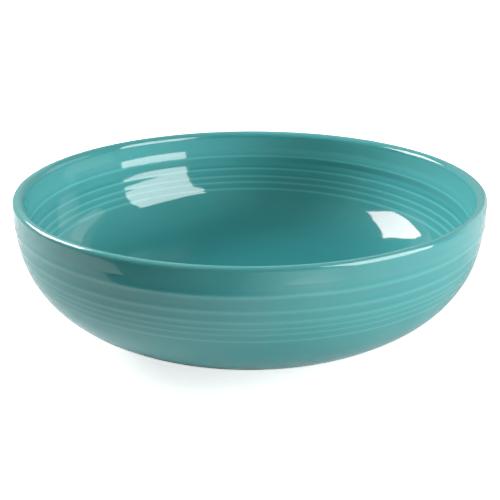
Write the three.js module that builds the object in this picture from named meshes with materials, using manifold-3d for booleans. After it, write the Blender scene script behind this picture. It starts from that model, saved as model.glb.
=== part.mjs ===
// A wide, low serving bowl of glazed stoneware, standing on its foot ring with +Z up.
// The clay body is turned with a graded set of rings inside and out. One coat of glaze covers it from the
// floor, over the lip, to a line just above the table, and a second one fills the recess inside the foot.
import * as THREE from "three";
import { mergeVertices } from "three/addons/utils/BufferGeometryUtils.js";
import Module from "manifold-3d";

// Driving dimensions in millimetres, measured over the glaze
const rimDiameter = 245;
const height = 75.5; // from the table to the top of the lip
const floorThickness = 4.6; // of the clay at the centre
const lipOutsideRounding = 2;
const lipInsideRounding = 3.7;
const outsideFullness = 2.89; // 2 would be an ellipse in section, larger is squarer
const insideFullness = 3.2;
const outsideRingDepths = [12.4, 19.5, 24.4, 27.5, 30.4, 33.9]; // crests below the top of the lip
const outsideReliefs = [0.3, 0.16, 0.13, 0.11, 0.11, 0.11]; // how far each crest stands out of the wall
const insideRingDepths = [16.1, 24.8, 30, 33.9, 38.1];
const insideReliefs = [0.55, 0.2, 0.15, 0.12, 0.12];
const ringRise = 4.8; // height of the long slope above a crest that has room for it
const ringFall = 3.4; // height of the short slope below it

// The foot ring, in bare clay below the glaze line
const footDiameter = 122;
const footHeight = 3.4; // from the table to where the wall leaves the foot
const footWidth = 5;
const footRounding = 1;
const recessDepth = 2.6; // from the table up to the glaze inside the foot
const glazeLine = 1.5; // height above the table where the glaze is wiped away

// The glaze, which draws thin over the crests of the rings
const glazeThickness = 0.4;
const glazeOverRings = 0.2;

// Fineness of the turned surfaces
const segments = 48;
const lipSteps = 3; // in each of the lip's two roundings
const floorSteps = 7;
const wallSteps = 6;
const roundingSteps = 2;

// Sizes that follow from those above
const rimRadius = rimDiameter / 2;
const crownRadius = rimRadius - lipOutsideRounding; // of the highest line of the lip
const outsideTop = height - lipOutsideRounding; // where each wall leaves the lip
const insideTop = height - lipInsideRounding;
const ringHeight = ringRise + ringFall;
const footRadius = footDiameter / 2;
const clayFootRadius = footRadius - glazeThickness;
const footInnerRadius = clayFootRadius - footWidth;
const clayRecessHeight = recessDepth + glazeThickness;
const clayFloorHeight = clayRecessHeight + floorThickness;
const floorHeight = clayFloorHeight + glazeThickness;
const quarterTurn = Math.PI / 2;

// A station is a point of the glazed profile with its outward direction and the thickness of glaze there.
function station(point, outward, glaze = glazeThickness) {
  const clay = point.clone().addScaledVector(outward, -glaze);
  return { glazed: point, clay };
}

// A wall in section is a superellipse that stands upright at the lip and lies flat on the axis.
class Wall {
  constructor(mouthRadius, top, depth, fullness, facing) {
    this.mouthRadius = mouthRadius;
    this.top = top;
    this.depth = depth; // from the top to where the section would meet the axis
    this.fullness = fullness;
    this.facing = facing; // 1 outside the bowl, -1 inside it
  }

  // The turn runs from 0 at the lip to a quarter circle on the axis.
  turnAtHeight(level) {
    return Math.asin(((this.top - level) / this.depth) ** (this.fullness / 2));
  }

  stationAt(turn, relief = 0, glaze = glazeThickness) {
    const across = Math.cos(turn) ** (2 / this.fullness);
    const down = Math.sin(turn) ** (2 / this.fullness);
    const steepness = this.fullness - 1;
    const outward = new THREE.Vector2(
      across ** steepness / this.mouthRadius,
      -(down ** steepness) / this.depth,
    );
    outward.normalize().multiplyScalar(this.facing);
    const point = new THREE.Vector2(across * this.mouthRadius, this.top - down * this.depth);
    return station(point.addScaledVector(outward, relief), outward, glaze);
  }

  // Rings from the top down, with a foot between neighbours.
  ringed(ringDepths, reliefs) {
    const levels = ringDepths.map((depth) => height - depth);
    const foot = (level) => this.stationAt(this.turnAtHeight(level));
    const stations = [foot(levels[0] + ringRise)];
    levels.forEach((level, i) => {
      const roomBelow = i === levels.length - 1 ? ringHeight : level - levels[i + 1];
      stations.push(
        this.stationAt(this.turnAtHeight(level), reliefs[i], glazeOverRings),
        foot(level - (roomBelow * ringFall) / ringHeight),
      );
    });
    return stations;
  }

  // The smooth stretch below the rings, down to a given turn.
  smooth(ringDepths, lastTurn, steps) {
    const firstTurn = this.turnAtHeight(height - ringDepths.at(-1) - ringFall);
    const turns = Array.from({ length: steps }, (_, i) => (i + 1) / steps);
    return turns.map((share) => this.stationAt(THREE.MathUtils.lerp(firstTurn, lastTurn, share)));
  }
}

// The points of a round corner between two angles, in section.
function roundCorner(centre, radius, fromAngle, toAngle, steps) {
  return Array.from({ length: steps + 1 }, (_, i) => {
    const angle = THREE.MathUtils.lerp(fromAngle, toAngle, i / steps);
    return new THREE.Vector2(Math.cos(angle), Math.sin(angle)).multiplyScalar(radius).add(centre);
  });
}

// One of the lip's two roundings, which meet on its crown line.
function lipRounding(radius, fromAngle) {
  const centre = new THREE.Vector2(crownRadius, height - radius);
  return roundCorner(centre, radius, fromAngle, fromAngle + quarterTurn, lipSteps).map((point) =>
    station(point, point.clone().sub(centre).normalize()),
  );
}

// The glazed profile runs from the foot up the outside, over the lip, and down the inside to the axis.
function glazedStations() {
  const footShare = (1 - (footRadius / rimRadius) ** outsideFullness) ** (1 / outsideFullness);
  const outsideDepth = (outsideTop - footHeight) / footShare;
  const outside = new Wall(rimRadius, outsideTop, outsideDepth, outsideFullness, 1);
  const outsideDown = [
    ...outside.ringed(outsideRingDepths, outsideReliefs),
    ...outside.smooth(outsideRingDepths, outside.turnAtHeight(footHeight), wallSteps).slice(0, -1),
  ];
  const footCorner = station(new THREE.Vector2(footRadius, footHeight), new THREE.Vector2(1, -1));

  const lip = [
    ...lipRounding(lipOutsideRounding, 0),
    ...lipRounding(lipInsideRounding, quarterTurn).slice(1),
  ];

  const insideMouth = crownRadius - lipInsideRounding;
  const insideDepth = insideTop - floorHeight;
  const inside = new Wall(insideMouth, insideTop, insideDepth, insideFullness, -1);
  const insideDown = [
    ...inside.ringed(insideRingDepths, insideReliefs),
    ...inside.smooth(insideRingDepths, quarterTurn, floorSteps).slice(0, -1),
  ];
  const floorCentre = station(new THREE.Vector2(0, floorHeight), new THREE.Vector2(0, 1));
  return [footCorner, ...outsideDown.reverse(), ...lip, ...insideDown, floorCentre];
}

// The clay's own profile below the glaze line: the recess, and the foot ring with its rounded standing face.
function clayFootProfile() {
  const innerCentre = new THREE.Vector2(footInnerRadius + footRounding, footRounding);
  const outerCentre = new THREE.Vector2(clayFootRadius - footRounding, footRounding);
  return [
    new THREE.Vector2(0, clayRecessHeight),
    new THREE.Vector2(footInnerRadius, clayRecessHeight),
    ...roundCorner(innerCentre, footRounding, 2 * quarterTurn, 3 * quarterTurn, roundingSteps),
    ...roundCorner(outerCentre, footRounding, 3 * quarterTurn, 4 * quarterTurn, roundingSteps),
  ];
}

const wasm = await Module();
wasm.setup();

// A profile of radius and height, turned about the Z axis into a closed solid.
function turned(profile) {
  const lathe = new THREE.LatheGeometry(profile, segments).rotateX(quarterTurn);
  lathe.deleteAttribute("normal");
  lathe.deleteAttribute("uv");
  const merged = mergeVertices(lathe);
  return new wasm.Manifold(
    new wasm.Mesh({
      numProp: 3,
      vertProperties: merged.attributes.position.array,
      triVerts: new Uint32Array(merged.index.array),
    }),
  );
}

function meshOf(name, solid, material) {
  const { vertProperties, triVerts } = solid.getMesh();
  const geometry = new THREE.BufferGeometry();
  geometry.setAttribute("position", new THREE.BufferAttribute(vertProperties, 3));
  geometry.setIndex(new THREE.BufferAttribute(triVerts, 1));
  geometry.computeVertexNormals();
  const mesh = new THREE.Mesh(geometry, material);
  mesh.name = name;
  return mesh;
}

const stations = glazedStations();
const clayBody = turned([...clayFootProfile(), ...stations.map(({ clay }) => clay)]);

// Each coat is a form that reaches into the clay, less the clay itself.
const midFoot = clayFootRadius - footWidth / 2;
const midFloor = (clayRecessHeight + clayFloorHeight) / 2;
const glazeCoat = turned([
  new THREE.Vector2(0, midFloor),
  new THREE.Vector2(midFoot, midFloor),
  new THREE.Vector2(midFoot, glazeLine),
  new THREE.Vector2(footRadius, glazeLine),
  ...stations.map(({ glazed }) => glazed),
]).subtract(clayBody);
const baseGlaze = turned([
  new THREE.Vector2(0, recessDepth),
  new THREE.Vector2(footInnerRadius - glazeThickness, recessDepth),
  new THREE.Vector2(footInnerRadius - glazeThickness, glazeLine),
  new THREE.Vector2(midFoot, glazeLine),
  new THREE.Vector2(midFoot, midFloor),
  new THREE.Vector2(0, midFloor),
]).subtract(clayBody);

const clay = new THREE.MeshStandardMaterial({ color: 0xe4dccd, roughness: 0.8, metalness: 0 });
const turquoiseGlaze = new THREE.MeshStandardMaterial({ color: 0x40a3a3, roughness: 0.08, metalness: 0 });
const underGlaze = new THREE.MeshStandardMaterial({ color: 0x3d9f9f, roughness: 0.12, metalness: 0 });

const bowl = new THREE.Group();
bowl.add(
  meshOf("stoneware_body", clayBody, clay),
  meshOf("glaze_coat", glazeCoat, turquoiseGlaze),
  meshOf("base_glaze", baseGlaze, underGlaze),
);

export default bowl;
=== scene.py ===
"""A turquoise stoneware bowl with fine turned surfaces and a procedural glaze, in soft studio light.

Sizes of the bowl and of the view are in millimetres, and those of the stage around it in metres.
"""
import math

import bpy
import numpy as np
from mathutils import Matrix, Vector


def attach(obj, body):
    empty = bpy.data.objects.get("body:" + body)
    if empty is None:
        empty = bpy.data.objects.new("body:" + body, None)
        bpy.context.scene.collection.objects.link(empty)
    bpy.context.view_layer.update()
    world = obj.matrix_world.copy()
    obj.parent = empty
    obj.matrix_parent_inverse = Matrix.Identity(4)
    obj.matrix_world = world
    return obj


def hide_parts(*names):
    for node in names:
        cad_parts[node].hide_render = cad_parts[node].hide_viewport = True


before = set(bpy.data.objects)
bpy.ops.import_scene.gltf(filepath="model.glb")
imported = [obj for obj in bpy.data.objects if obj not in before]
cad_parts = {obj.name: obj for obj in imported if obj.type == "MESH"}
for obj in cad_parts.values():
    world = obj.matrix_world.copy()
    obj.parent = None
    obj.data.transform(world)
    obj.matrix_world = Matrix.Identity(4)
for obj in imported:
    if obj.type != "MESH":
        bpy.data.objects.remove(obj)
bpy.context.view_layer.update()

MM = 0.001
QUARTER = math.pi / 2

# The bowl, measured over the glaze
RIM_DIAMETER = 245.0
HEIGHT = 75.5  # from the table to the top of the lip
LIP_OUTSIDE_ROUNDING = 2.0
LIP_INSIDE_ROUNDING = 3.7
OUTSIDE_FULLNESS = 2.89  # 2 would be an ellipse in section, larger is squarer
INSIDE_FULLNESS = 3.2
FLOOR_THICKNESS = 4.6  # of the clay at the centre

# The foot ring, in bare clay below the glaze line
FOOT_DIAMETER = 122.0
FOOT_HEIGHT = 3.4  # from the table to where the wall leaves the foot
FOOT_WIDTH = 5.0
FOOT_ROUNDING = 1.0
FOOT_FILLET = 1.0  # of the glaze, under the wall and in the recess
RECESS_DEPTH = 2.6  # from the table up to the glaze inside the foot

# The glaze, which draws thin over the crests of the rings
GLAZE = 0.4
GLAZE_OVER_RINGS = 0.2
GLAZE_LINE = 1.5  # height above the table where it is wiped away

# The crests of the rings, as depths below the top of the lip
OUTSIDE_RING_DEPTHS = [12.4, 19.5, 24.4, 27.5, 30.4, 33.9]
INSIDE_RING_DEPTHS = [16.1, 24.8, 30.0, 33.9, 38.1]
# The relief of each wall: depths below the top of the lip, and heights above the superellipse there.
# Inside, it also fills out the curve of the wall a little.
OUTSIDE_RELIEF = [
    (7.6, 0.0), (12.2, 0.3), (14.2, 0.0), (16.5, 0.0), (19.4, 0.15), (20.7, 0.0), (21.8, 0.0), (24.3, 0.12),
    (25.4, 0.0), (27.4, 0.1), (28.3, 0.0), (30.3, 0.1), (31.3, 0.0), (33.8, 0.11), (35.2, 0.0),
]
INSIDE_RELIEF = [
    (10.8, 0.0), (16.1, 0.96), (20.4, 0.06), (24.8, 0.5), (26.0, 0.55), (28.5, 0.63), (30.0, 0.69),
    (31.0, 0.66), (33.9, 0.6), (35.2, 0.52), (36.2, 0.5), (38.1, 0.56), (39.5, 0.5), (42.0, 0.55),
    (46.0, 0.64), (52.0, 0.58), (57.0, 0.3), (61.0, 0.0),
]
RELIEF_SOFTENING = 0.4  # the relief is averaged this far up and down
RELIEF_SAMPLES = 9
RELIEF_MARGIN = 1.0  # of fine steps above and below it

# Where the glaze looks thin and pale, or deep, and where light and shade are painted into it. A crest has
# its greatest half width, that width's greatest share of the room above the ring, and the strength of its
# tint.
OUTSIDE_CREST = (1.0, 0.18, 0.4)
INSIDE_CREST = (0.65, 0.18, 0.6)
LIP_TINT = 0.4  # paler on the crown of the lip, partly thin glaze and partly painted light
RING_POOL_HEIGHT = 4.8  # of the slope above a crest where glaze gathers
RING_POOL_ROOM = 0.6  # the greatest share of the room above the ring that it takes
FOOT_POOL = 0.5  # on the side of the foot
# Inside, these change between two shares of the depth from the lip to the floor
UPPER_PAINTED_LIGHT = 0.3  # painted light: the glaze is paler under the lip
UPPER_SHARES = (0.12, 0.32)
LOWER_PAINTED_SHADE = 0.5  # painted shade: the glaze is deeper towards the floor
LOWER_SHARES = (0.6, 0.95)
FLOOR_SHARES = (0.8, 0.95)

# Fineness of the turned surfaces
SEGMENTS = 128
LIP_STEPS = 14  # in each of the lip's two roundings
SMOOTH_STEPS = 6  # between the lip and the relief
RINGED_STEPS = 110
WALL_STEPS = 36  # below the relief outside
FLOOR_STEPS = 48  # below the relief inside
ROUNDING_STEPS = 8
AXIS_TOLERANCE = 1e-6

# Sizes that follow from those above
RIM_RADIUS = RIM_DIAMETER / 2
CROWN_RADIUS = RIM_RADIUS - LIP_OUTSIDE_ROUNDING  # of the highest line of the lip
INSIDE_MOUTH = CROWN_RADIUS - LIP_INSIDE_ROUNDING
OUTSIDE_TOP = HEIGHT - LIP_OUTSIDE_ROUNDING  # where each wall leaves the lip
INSIDE_TOP = HEIGHT - LIP_INSIDE_ROUNDING
FOOT_RADIUS = FOOT_DIAMETER / 2
CLAY_FOOT_RADIUS = FOOT_RADIUS - GLAZE
FOOT_INNER_RADIUS = CLAY_FOOT_RADIUS - FOOT_WIDTH
CLAY_RECESS_HEIGHT = RECESS_DEPTH + GLAZE
CLAY_FLOOR_HEIGHT = CLAY_RECESS_HEIGHT + FLOOR_THICKNESS
FLOOR_HEIGHT = CLAY_FLOOR_HEIGHT + GLAZE


def ramp(value, start, end):
    """Rises from 0 at the start to 1 at the end."""
    return min(1.0, max(0.0, (value - start) / (end - start)))


class Station:
    """A point of the glazed profile and the clay under it, with its shares of crest and painted light, of
    pool and painted shade, and of floor.
    """

    def __init__(self, point, outward, glaze=GLAZE, crest_and_light=0.0, pool=0.0):
        self.glazed = np.array(point, float)
        self.clay = self.glazed - np.array(outward, float) * glaze
        self.crest_and_light = crest_and_light
        self.pool = pool
        self.floor = 0.0


class Wall:
    """A superellipse in section, upright at the lip and flat on the axis, with rings raised on it.

    Its levels are depths below its own top, and its turn runs from 0 there to a quarter circle on the axis.
    """

    def __init__(self, mouth_radius, top, depth, fullness, facing, ring_depths, relief, crest_and_light):
        self.mouth_radius = mouth_radius
        self.top = top
        self.depth = depth
        self.fullness = fullness
        self.facing = facing  # 1 outside the bowl, -1 inside it
        knots, self.heights = np.array(relief).T
        self.knots = knots - (HEIGHT - top)
        self.rings = np.array(ring_depths) - (HEIGHT - top)
        self.rooms = np.diff(np.append(0.0, self.rings))
        widest, share, self.tint = crest_and_light
        self.crest_widths = np.minimum(widest, share * self.rooms)

    def turn(self, level):
        return math.asin((level / self.depth) ** (self.fullness / 2))

    def relief(self, level):
        """Height of the relief at a level, with the shares of crest and of pool there."""
        nearby = level + RELIEF_SOFTENING * np.linspace(-1, 1, RELIEF_SAMPLES)
        height = np.interp(nearby, self.knots, self.heights).mean()
        crest_and_light = np.exp(-(((level - self.rings) / self.crest_widths) ** 2)).max()
        climb = 1 - (self.rings - level) / np.minimum(RING_POOL_HEIGHT, RING_POOL_ROOM * self.rooms)
        pool = np.where((climb > 0) & (climb <= 1), climb, 0).max() ** 2
        return height, crest_and_light, pool * (1 - crest_and_light)

    def station(self, turn, ringed=False):
        across = max(math.cos(turn), 0.0) ** (2 / self.fullness)
        down = math.sin(turn) ** (2 / self.fullness)
        power = self.fullness - 1
        outward = np.array([across**power / self.mouth_radius, -(down**power) / self.depth])
        outward *= self.facing / np.linalg.norm(outward)
        point = np.array([across * self.mouth_radius, self.top - down * self.depth])
        if not ringed:
            return Station(point, outward)
        height, crest_and_light, pool = self.relief(down * self.depth)
        glaze = GLAZE + (GLAZE_OVER_RINGS - GLAZE) * crest_and_light
        return Station(point + outward * height, outward, glaze, crest_and_light * self.tint, pool)

    def profile(self, last_turn, steps):
        """Stations from just under the lip down to a given turn, in these steps below the relief."""
        first, last = self.knots[0] - RELIEF_MARGIN, self.knots[-1] + RELIEF_MARGIN
        levels = [
            *np.linspace(0, first, SMOOTH_STEPS, endpoint=False),
            *np.linspace(first, last, RINGED_STEPS),
        ]
        stations = [self.station(self.turn(level), ringed=True) for level in levels]
        turns = np.linspace(self.turn(last), last_turn, steps + 1)[1:]
        return stations + [self.station(turn) for turn in turns]


def arc(centre, radius, from_angle, to_angle, steps):
    """Points of a circle between two angles, in section."""
    angles = np.linspace(from_angle, to_angle, steps + 1)
    return [np.array(centre) + radius * np.array([math.cos(a), math.sin(a)]) for a in angles]


def outside_wall():
    """The wall from the lip to the foot, which it meets at the foot's own radius and height."""
    foot_share = (1 - (FOOT_RADIUS / RIM_RADIUS) ** OUTSIDE_FULLNESS) ** (1 / OUTSIDE_FULLNESS)
    depth = (OUTSIDE_TOP - FOOT_HEIGHT) / foot_share
    rings = (OUTSIDE_RING_DEPTHS, OUTSIDE_RELIEF, OUTSIDE_CREST)
    return Wall(RIM_RADIUS, OUTSIDE_TOP, depth, OUTSIDE_FULLNESS, 1, *rings)


def foot_stations(outside):
    """The glaze on the side of the foot, with the height where the wall goes on.

    It ends below in a rounded edge, and fills the angle under the wall.
    """
    edge = arc((CLAY_FOOT_RADIUS, GLAZE_LINE + GLAZE), GLAZE, -QUARTER, 0, ROUNDING_STEPS)[1:]
    corner = outside.station(outside.turn(OUTSIDE_TOP - FOOT_HEIGHT))
    under = corner.glazed - corner.clay
    slope = math.atan2(under[0], -under[1])
    fillet_height = FOOT_HEIGHT + FOOT_FILLET * (math.tan(slope) - 1 / math.cos(slope))
    fillet_centre = (FOOT_RADIUS + FOOT_FILLET, fillet_height)
    fillet = arc(fillet_centre, FOOT_FILLET, math.pi, QUARTER + slope, ROUNDING_STEPS)
    stations = []
    for point in [*edge, *fillet]:
        station = Station(point, (0, 0), pool=FOOT_POOL)
        station.clay = np.array([CLAY_FOOT_RADIUS, min(point[1], FOOT_HEIGHT + GLAZE)])
        stations.append(station)
    stations[-1].clay = corner.clay
    return stations, stations[-1].glazed[1] + FOOT_FILLET * math.sin(slope)


def lip_stations():
    """The lip's two roundings, which meet on its crown line."""
    lip = []
    for rounding, start in ((LIP_OUTSIDE_ROUNDING, 0), (LIP_INSIDE_ROUNDING, QUARTER)):
        centre = np.array([CROWN_RADIUS, HEIGHT - rounding])
        for point in arc(centre, rounding, start, start + QUARTER, LIP_STEPS)[1:]:
            lip.append(Station(point, (point - centre) / rounding))
    # The crown is paler, partly from thin glaze and partly as painted light.
    for station, share in zip(lip, np.linspace(0, 1, len(lip))):
        station.crest_and_light = LIP_TINT * math.sin(math.pi * share) ** 2
    return lip[:-1]


def inside_stations():
    """The inside from just under the lip to the centre of the floor."""
    depth = INSIDE_TOP - FLOOR_HEIGHT
    rings = (INSIDE_RING_DEPTHS, INSIDE_RELIEF, INSIDE_CREST)
    wall = Wall(INSIDE_MOUTH, INSIDE_TOP, depth, INSIDE_FULLNESS, -1, *rings)
    floor_centre = Station((0.0, FLOOR_HEIGHT), (0, 1))
    stations = [*wall.profile(QUARTER, FLOOR_STEPS)[:-1], floor_centre]
    for station in stations:
        depth_share = (INSIDE_TOP - station.glazed[1]) / depth
        # Painted light: the glaze is made paler under the lip.
        thin_and_lit = UPPER_PAINTED_LIGHT * (1 - ramp(depth_share, *UPPER_SHARES))
        station.crest_and_light = thin_and_lit + (1 - thin_and_lit) * station.crest_and_light
        # Painted shade: the glaze is made deeper towards the floor.
        station.pool = max(station.pool, LOWER_PAINTED_SHADE * ramp(depth_share, *LOWER_SHARES))
        station.floor = ramp(depth_share, *FLOOR_SHARES)
    return stations


def glazed_profile():
    """Stations from the glaze line, up the outside, over the lip and down to the floor's centre."""
    outside = outside_wall()
    foot, wall_height = foot_stations(outside)
    outside_down = outside.profile(outside.turn(OUTSIDE_TOP - wall_height), WALL_STEPS)
    return [*foot, *outside_down[::-1], *lip_stations(), *inside_stations()]


def clay_foot_profile():
    """The clay's bare part: the recess and the foot ring with its rounded standing face."""
    inner_centre = (FOOT_INNER_RADIUS + FOOT_ROUNDING, FOOT_ROUNDING)
    outer_centre = (CLAY_FOOT_RADIUS - FOOT_ROUNDING, FOOT_ROUNDING)
    return [
        np.array([0.0, CLAY_RECESS_HEIGHT]),
        np.array([FOOT_INNER_RADIUS, CLAY_RECESS_HEIGHT]),
        *arc(inner_centre, FOOT_ROUNDING, 2 * QUARTER, 3 * QUARTER, ROUNDING_STEPS),
        *arc(outer_centre, FOOT_ROUNDING, 3 * QUARTER, 4 * QUARTER, ROUNDING_STEPS),
    ]


def base_glaze_profile():
    """The coat in the recess: its lower face from the axis out, then back along the clay."""
    side = FOOT_INNER_RADIUS - GLAZE
    fillet_centre = (side - FOOT_FILLET, RECESS_DEPTH - FOOT_FILLET)
    edge_height = min(GLAZE_LINE + GLAZE, RECESS_DEPTH - FOOT_FILLET)
    return [
        np.array([0.0, RECESS_DEPTH]),
        *arc(fillet_centre, FOOT_FILLET, QUARTER, 0, ROUNDING_STEPS),
        *arc((FOOT_INNER_RADIUS, edge_height), GLAZE, math.pi, 3 * QUARTER, ROUNDING_STEPS),
        np.array([FOOT_INNER_RADIUS, CLAY_RECESS_HEIGHT]),
        np.array([0.0, CLAY_RECESS_HEIGHT]),
    ]


def turned(name, profile, attributes=None):
    """Turns a closed profile of radius and height about the Z axis. Its ends may lie on the axis.

    An attribute has a value for each point of the profile.
    """
    angles = np.linspace(0, 2 * math.pi, SEGMENTS, endpoint=False)
    circle = np.stack([np.cos(angles), np.sin(angles)], axis=1)
    verts, rows, source = [], [], []
    for i, (radius, height) in enumerate(profile):
        count = 1 if radius < AXIS_TOLERANCE else SEGMENTS
        rows.append(np.arange(len(verts), len(verts) + count))
        if count == 1:
            verts.append((0.0, 0.0, height * MM))
        else:
            verts += [(radius * c * MM, radius * s * MM, height * MM) for c, s in circle]
        source += [i] * count
    following = rows[1:] if len(rows[0]) == 1 else [*rows[1:], rows[0]]
    faces = []
    for low, high in zip(rows, following):
        if len(low) == len(high) == 1:
            continue
        for k in range(SEGMENTS):
            n = (k + 1) % SEGMENTS
            if len(low) == 1:
                faces.append((low[0], high[n], high[k]))
            elif len(high) == 1:
                faces.append((low[k], low[n], high[0]))
            else:
                faces.append((low[k], low[n], high[n], high[k]))
    mesh = bpy.data.meshes.new(name)
    mesh.from_pydata(verts, [], faces)
    for label, values in (attributes or {}).items():
        layer = mesh.attributes.new(label, "FLOAT", "POINT")
        layer.data.foreach_set("value", np.array(values, np.float32)[source])
    mesh.shade_smooth()
    mesh.validate()
    piece = bpy.data.objects.new(name, mesh)
    bpy.context.scene.collection.objects.link(piece)
    return piece


def srgb(red, green, blue):
    """A linear colour with alpha from 8-bit sRGB values."""
    def linear(value):
        value /= 255
        return value / 12.92 if value <= 0.04045 else ((value + 0.055) / 1.055) ** 2.4
    return (linear(red), linear(green), linear(blue), 1.0)


def grey(level):
    return (level, level, level, 1.0)


class Nodes:
    """A short way to add and link shader nodes."""

    def __init__(self, owner):
        owner.use_nodes = True
        self.tree = owner.node_tree
        self.tree.nodes.clear()

    def add(self, kind, inputs=None, **settings):
        node = self.tree.nodes.new(kind)
        for key, value in settings.items():
            setattr(node, key, value)
        for key, value in (inputs or {}).items():
            if isinstance(value, bpy.types.NodeSocket):
                self.tree.links.new(value, node.inputs[key])
            else:
                node.inputs[key].default_value = value
        return node

    def place(self):
        return self.add("ShaderNodeTexCoord").outputs["Object"]

    def attribute(self, label):
        return self.add("ShaderNodeAttribute", attribute_name=label).outputs["Fac"]

    def math(self, operation, first, second):
        return self.add("ShaderNodeMath", {0: first, 1: second}, operation=operation).outputs[0]

    def mix(self, factor, first, second):
        return self.add("ShaderNodeMix", {0: factor, 6: first, 7: second}, data_type="RGBA").outputs[2]

    def remap(self, value, from_low, from_high, to_low, to_high):
        inputs = {0: value, 1: from_low, 2: from_high, 3: to_low, 4: to_high}
        return self.add("ShaderNodeMapRange", inputs).outputs[0]

    def noise(self, place, scale, detail):
        inputs = {"Vector": place, "Scale": scale, "Detail": detail}
        return self.add("ShaderNodeTexNoise", inputs).outputs["Fac"]

    def mottle(self, place, scale, detail, used, values):
        return self.remap(self.noise(place, scale, detail), *used, *values)

    def bump(self, place, scale, detail, strength, distance):
        inputs = {"Height": self.noise(place, scale, detail), "Strength": strength, "Distance": distance}
        return self.add("ShaderNodeBump", inputs).outputs[0]

    def glow(self, strength):
        return self.add("ShaderNodeEmission", {"Color": grey(1.0), "Strength": strength}).outputs[0]

    def surface(self, shader):
        self.add("ShaderNodeOutputMaterial", {"Surface": shader})


# The colours, in 8-bit sRGB
GLAZE_BODY = (84, 163, 163)
# The deeper glaze: in clouds and pools, and painted shade towards the floor.
GLAZE_DEEP_AND_SHADED = (38, 150, 156)
# The paler glaze: thin over the crests, and painted light under the lip and on its crown.
GLAZE_THIN_AND_LIT = (126, 206, 204)
CLAY_PALE = (228, 220, 204)
CLAY_DARK = (212, 201, 182)
CLAY_SPECK = (150, 128, 104)

# The gloss
GLAZE_IOR = 1.55
FLOOR_ROUGHNESS = 0.12  # what the floor of the bowl has more than the walls
CLAY_ROUGHNESS = 0.82

# Mottling by noise: its scale per metre, its detail, the range of it in use, and the values of that range
GLAZE_CLOUDS = (28.0, 3.0, (0.35, 0.65), (0.0, 0.25))
CREST_GRAIN = (900.0, 2.0, (0.3, 0.7), (0.75, 1.0))
GLAZE_ROUGHNESS = (60.0, 3.0, (0.3, 0.7), (0.035, 0.07))
CLAY_TONE = (90.0, 3.0, (0.3, 0.7), (0.0, 1.0))
CLAY_SPECKS = (1500.0, 1.0, (0.66, 0.72), (0.0, 0.7))

# Bumps by noise: its scale per metre, its detail, and the strength and distance of the bump, in metres
GLAZE_RIPPLE = (160.0, 2.0, 0.02, 0.001)
CLAY_GRAIN = (2200.0, 4.0, 0.25, 0.0003)


def glaze_material():
    """Glossy turquoise glaze: deeper where it pools and with painted shade towards the floor, and paler where
    it thins and with painted light under the lip and on its crown.
    """
    material = bpy.data.materials.new("turquoise_glaze")
    nodes = Nodes(material)
    place = nodes.place()
    # Deeper in clouds and pools, and painted shade towards the floor.
    depth = nodes.math("MAXIMUM", nodes.mottle(place, *GLAZE_CLOUDS), nodes.attribute("pool"))
    body = nodes.mix(depth, srgb(*GLAZE_BODY), srgb(*GLAZE_DEEP_AND_SHADED))
    # Paler where the glaze thins over crests, and painted light under the lip and on its crown.
    thin_and_lit = nodes.math("MULTIPLY", nodes.attribute("crest_and_light"), nodes.mottle(place, *CREST_GRAIN))
    wear = nodes.math("MULTIPLY", nodes.attribute("floor"), FLOOR_ROUGHNESS)
    shader = nodes.add(
        "ShaderNodeBsdfPrincipled",
        {
            "Base Color": nodes.mix(thin_and_lit, body, srgb(*GLAZE_THIN_AND_LIT)),
            "Roughness": nodes.math("ADD", nodes.mottle(place, *GLAZE_ROUGHNESS), wear),
            "IOR": GLAZE_IOR,
            "Normal": nodes.bump(place, *GLAZE_RIPPLE),
        },
    )
    nodes.surface(shader.outputs[0])
    return material


def clay_material():
    """Bare fired stoneware: pale buff with fine specks and a sandy grain."""
    material = bpy.data.materials.new("bare_clay")
    nodes = Nodes(material)
    place = nodes.place()
    body = nodes.mix(nodes.mottle(place, *CLAY_TONE), srgb(*CLAY_PALE), srgb(*CLAY_DARK))
    shader = nodes.add(
        "ShaderNodeBsdfPrincipled",
        {
            "Base Color": nodes.mix(nodes.mottle(place, *CLAY_SPECKS), body, srgb(*CLAY_SPECK)),
            "Roughness": CLAY_ROUGHNESS,
            "Normal": nodes.bump(place, *CLAY_GRAIN),
        },
    )
    nodes.surface(shader.outputs[0])
    return material


def dress(piece, node, material):
    """Puts a piece in place of its CAD node."""
    piece.data.materials.append(material)
    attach(piece, "root")
    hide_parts(node)


def build_bowl():
    """The glaze over the bowl, the clay under it, and the glaze in the recess."""
    stations = glazed_profile()
    glaze = glaze_material()
    clay_side = [station.clay for station in stations]
    coat = [station.glazed for station in stations] + clay_side[::-1]
    attributes = {
        label: [getattr(station, label) for station in stations] + [0.0] * len(clay_side)
        for label in ("crest_and_light", "pool", "floor")
    }
    dress(turned("glaze_surface", coat, attributes), "glaze_coat", glaze)
    body = turned("clay_body", [*clay_foot_profile(), *clay_side])
    dress(body, "stoneware_body", clay_material())
    base = turned("recess_glaze", base_glaze_profile())
    dress(base, "base_glaze", glaze)


# The view, fitted to the outline, the lip and the rings in the photograph
IMAGE_SIDE = 500
FOCAL_PIXELS = 757.0
FRAME_SHIFT_PIXELS = 0.1
CAMERA_DISTANCE = 420.2
CAMERA_ELEVATION = math.radians(21.36)
CAMERA_ROLL = math.radians(-0.16)
TARGET_HEIGHT = 35.4
SENSOR = 36.0
NEAREST_IN_VIEW = 10.0


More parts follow.
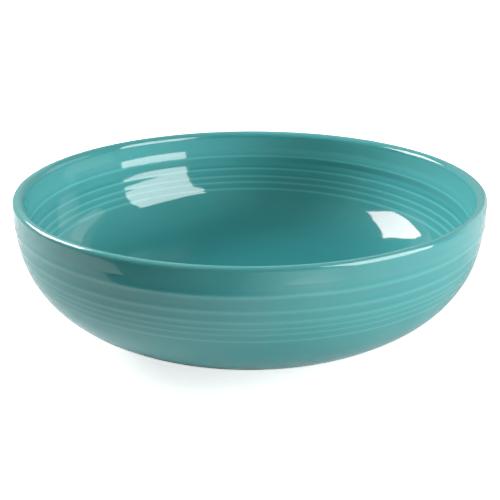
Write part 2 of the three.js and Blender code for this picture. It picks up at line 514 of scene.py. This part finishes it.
def add_camera():
    camera = bpy.data.objects.new("camera", bpy.data.cameras.new("camera"))
    bpy.context.scene.collection.objects.link(camera)
    camera.data.sensor_width = SENSOR
    camera.data.lens = FOCAL_PIXELS / IMAGE_SIDE * SENSOR
    camera.data.shift_x = FRAME_SHIFT_PIXELS / IMAGE_SIDE
    camera.data.clip_start = NEAREST_IN_VIEW * MM
    back = CAMERA_DISTANCE * math.cos(CAMERA_ELEVATION)
    up = TARGET_HEIGHT + CAMERA_DISTANCE * math.sin(CAMERA_ELEVATION)
    camera.location = Vector((0, -back, up)) * MM
    turn = Matrix.Rotation(QUARTER - CAMERA_ELEVATION, 3, "X") @ Matrix.Rotation(CAMERA_ROLL, 3, "Z")
    camera.rotation_euler = turn.to_euler()
    bpy.context.scene.camera = camera


WHITE = (1.0, 1.0, 1.0)
WARM = (1.0, 0.8, 0.8)
# The lamps: azimuth and elevation in degrees, distance, width, height, radiance, colour, and whether the
# glaze mirrors it. A lamp that it mirrors gives no other light.
LAMPS = [
    ("lamp_right", 116.5, 24.0, 1.3, 1.0, 0.8, 7.6, WHITE, False),
    ("lamp_left", -64.0, 33.5, 1.4, 0.7, 0.75, 16.8, WHITE, False),
    ("softbox_right", 118.2, 25.2, 0.92, 0.72, 0.88, 8.2, WHITE, True),
    ("softbox_left", -56.5, 38.5, 1.064, 0.6, 0.394, 13.0, WARM, True),
    ("card_right", 54.0, 14.0, 1.0, 0.66, 0.62, 1.0, WHITE, True),
]

# The floor, which glows by itself in the picture, so that it goes white away from the bowl
FLOOR_HALF_SIDE = 8.0
FLOOR_PAPER = 0.85  # how much light it throws back
FLOOR_FADE = (0.4, 1.2)  # distances from the bowl's axis between which its glow changes
FLOOR_GLOWS = (0.72, 1.0)

# The card in front that the wall mirrors: its near edge from left to right, and how far out it goes.
# It is dark at the left, and grows bright between two places across the scene.
FLAG_NEAR_EDGE = ((-0.6, -0.106), (0.145, -0.259))
FLAG_FAR = -3.0
FLAG_HEIGHT = 0.0004  # just clear of the floor
FLAG_SPAN = (-0.04, 0.12)
FLAG_RADIANCES = (0.02, 1.35)

# The small card that shows as a pale patch under the lip: an ellipse, with its half widths and its turn.
# Its glow changes across the scene too.
GLINT_CENTRE = (0.098, -0.242)
GLINT_REACH = (0.048, 0.021)
GLINT_TURN = math.radians(20.0)
GLINT_HEIGHT = 0.0006  # just clear of the other card
GLINT_SIDES = 32
GLINT_SPAN = (0.08, 0.14)
GLINT_RADIANCES = (2.1, 1.5)

# Light from all round, and the brighter backdrop that the glaze mirrors. The backdrop fades in where a
# direction points this far back, and out where it points this far up.
WORLD_GLOW = 0.02
BACKDROP_GLOW = 0.4
BACKDROP_SIDES = (0.24, 0.28)
BACKDROP_TOP = (0.53, 0.56)


def add_panel(name, azimuth, elevation, distance, width, height, radiance, colour, mirrored):
    """A rectangular light that faces the bowl: one that the glaze mirrors, or one that only lights it.

    Azimuth is from +Y towards +X.
    """
    light = bpy.data.lights.new(name, "AREA")
    light.shape = "RECTANGLE"
    light.size = width
    light.size_y = height
    light.energy = radiance * math.pi * width * height
    light.color = colour
    lamp = bpy.data.objects.new(name, light)
    bpy.context.scene.collection.objects.link(lamp)
    around, above = math.radians(azimuth), math.radians(elevation)
    flat = math.cos(above) * distance
    lamp.location = (flat * math.sin(around), flat * math.cos(around), math.sin(above) * distance)
    lamp.rotation_euler = (-lamp.location).to_track_quat("-Z", "Y").to_euler()
    lamp.visible_camera = False
    lamp.visible_glossy = mirrored
    lamp.visible_diffuse = not mirrored


def lay_sheet(name, corners, height, material):
    """A flat sheet of the stage."""
    mesh = bpy.data.meshes.new(name)
    mesh.from_pydata([(x, y, height) for x, y in corners], [], [range(len(corners))])
    mesh.materials.append(material)
    sheet = bpy.data.objects.new(name, mesh)
    bpy.context.scene.collection.objects.link(sheet)
    return sheet


def floor_material():
    material = bpy.data.materials.new("pale_floor")
    nodes = Nodes(material)
    seen = nodes.add("ShaderNodeLightPath").outputs["Is Camera Ray"]
    distance = nodes.add("ShaderNodeVectorMath", {0: nodes.place()}, operation="LENGTH").outputs["Value"]
    white = nodes.math("MULTIPLY", seen, nodes.remap(distance, *FLOOR_FADE, *FLOOR_GLOWS))
    paper = nodes.add("ShaderNodeBsdfDiffuse", {"Color": grey(FLOOR_PAPER)})
    both = nodes.add("ShaderNodeAddShader", {0: paper.outputs[0], 1: nodes.glow(white)})
    nodes.surface(both.outputs[0])
    return material


def card_material(name, span, radiances):
    """A card with a glow of its own, which changes across the scene from left to right."""
    material = bpy.data.materials.new(name)
    nodes = Nodes(material)
    across = nodes.add("ShaderNodeSeparateXYZ", {0: nodes.place()}).outputs[0]
    nodes.surface(nodes.glow(nodes.remap(across, *span, *radiances)))
    return material


def add_floor():
    side = FLOOR_HALF_SIDE
    lay_sheet("floor", [(-side, -side), (side, -side), (side, side), (-side, side)], 0.0, floor_material())


def add_flag():
    """The card on the floor in front of the bowl, out of the picture."""
    left, right = FLAG_NEAR_EDGE
    corners = [left, (left[0], FLAG_FAR), (right[0], FLAG_FAR), right]
    flag = lay_sheet("flag", corners, FLAG_HEIGHT, card_material("dark_card", FLAG_SPAN, FLAG_RADIANCES))
    flag.visible_camera = False
    flag.visible_shadow = False


def add_glint():
    """The small pale card in front, out of the picture, that only the glaze mirrors."""
    turn = Matrix.Rotation(GLINT_TURN, 2)
    angles = np.linspace(0, 2 * math.pi, GLINT_SIDES, endpoint=False)
    ellipse = [Vector((GLINT_REACH[0] * math.cos(a), GLINT_REACH[1] * math.sin(a))) for a in angles]
    outline = [turn @ point + Vector(GLINT_CENTRE) for point in ellipse]
    glint = lay_sheet("glint", outline, GLINT_HEIGHT, card_material("pale_card", GLINT_SPAN, GLINT_RADIANCES))
    glint.visible_camera = False
    glint.visible_diffuse = False
    glint.visible_shadow = False


def set_world():
    """White behind the object in the picture, a dimmer backdrop in the glaze, and faint light all round."""
    world = bpy.data.worlds.new("studio")
    bpy.context.scene.world = world
    nodes = Nodes(world)
    path = nodes.add("ShaderNodeLightPath")
    direction = nodes.add("ShaderNodeTexCoord").outputs["Generated"]
    toward = nodes.add("ShaderNodeSeparateXYZ", {0: direction})
    behind = nodes.remap(toward.outputs[1], *BACKDROP_SIDES, 0.0, 1.0)
    below = nodes.remap(toward.outputs[2], *BACKDROP_TOP, 1.0, 0.0)
    in_glaze = nodes.math("MULTIPLY", path.outputs["Is Glossy Ray"], BACKDROP_GLOW)
    backdrop = nodes.math("MULTIPLY", nodes.math("MULTIPLY", behind, below), in_glaze)
    seen = nodes.math("MAXIMUM", backdrop, path.outputs["Is Camera Ray"])
    strength = nodes.remap(seen, 0.0, 1.0, WORLD_GLOW, 1.0)
    glow = nodes.add("ShaderNodeBackground", {"Color": grey(1.0), "Strength": strength})
    nodes.add("ShaderNodeOutputWorld", {"Surface": glow.outputs[0]})


build_bowl()
add_camera()
add_floor()
add_flag()
add_glint()
for lamp_settings in LAMPS:
    add_panel(*lamp_settings)
set_world()
bpy.context.scene.view_settings.view_transform = "Standard"
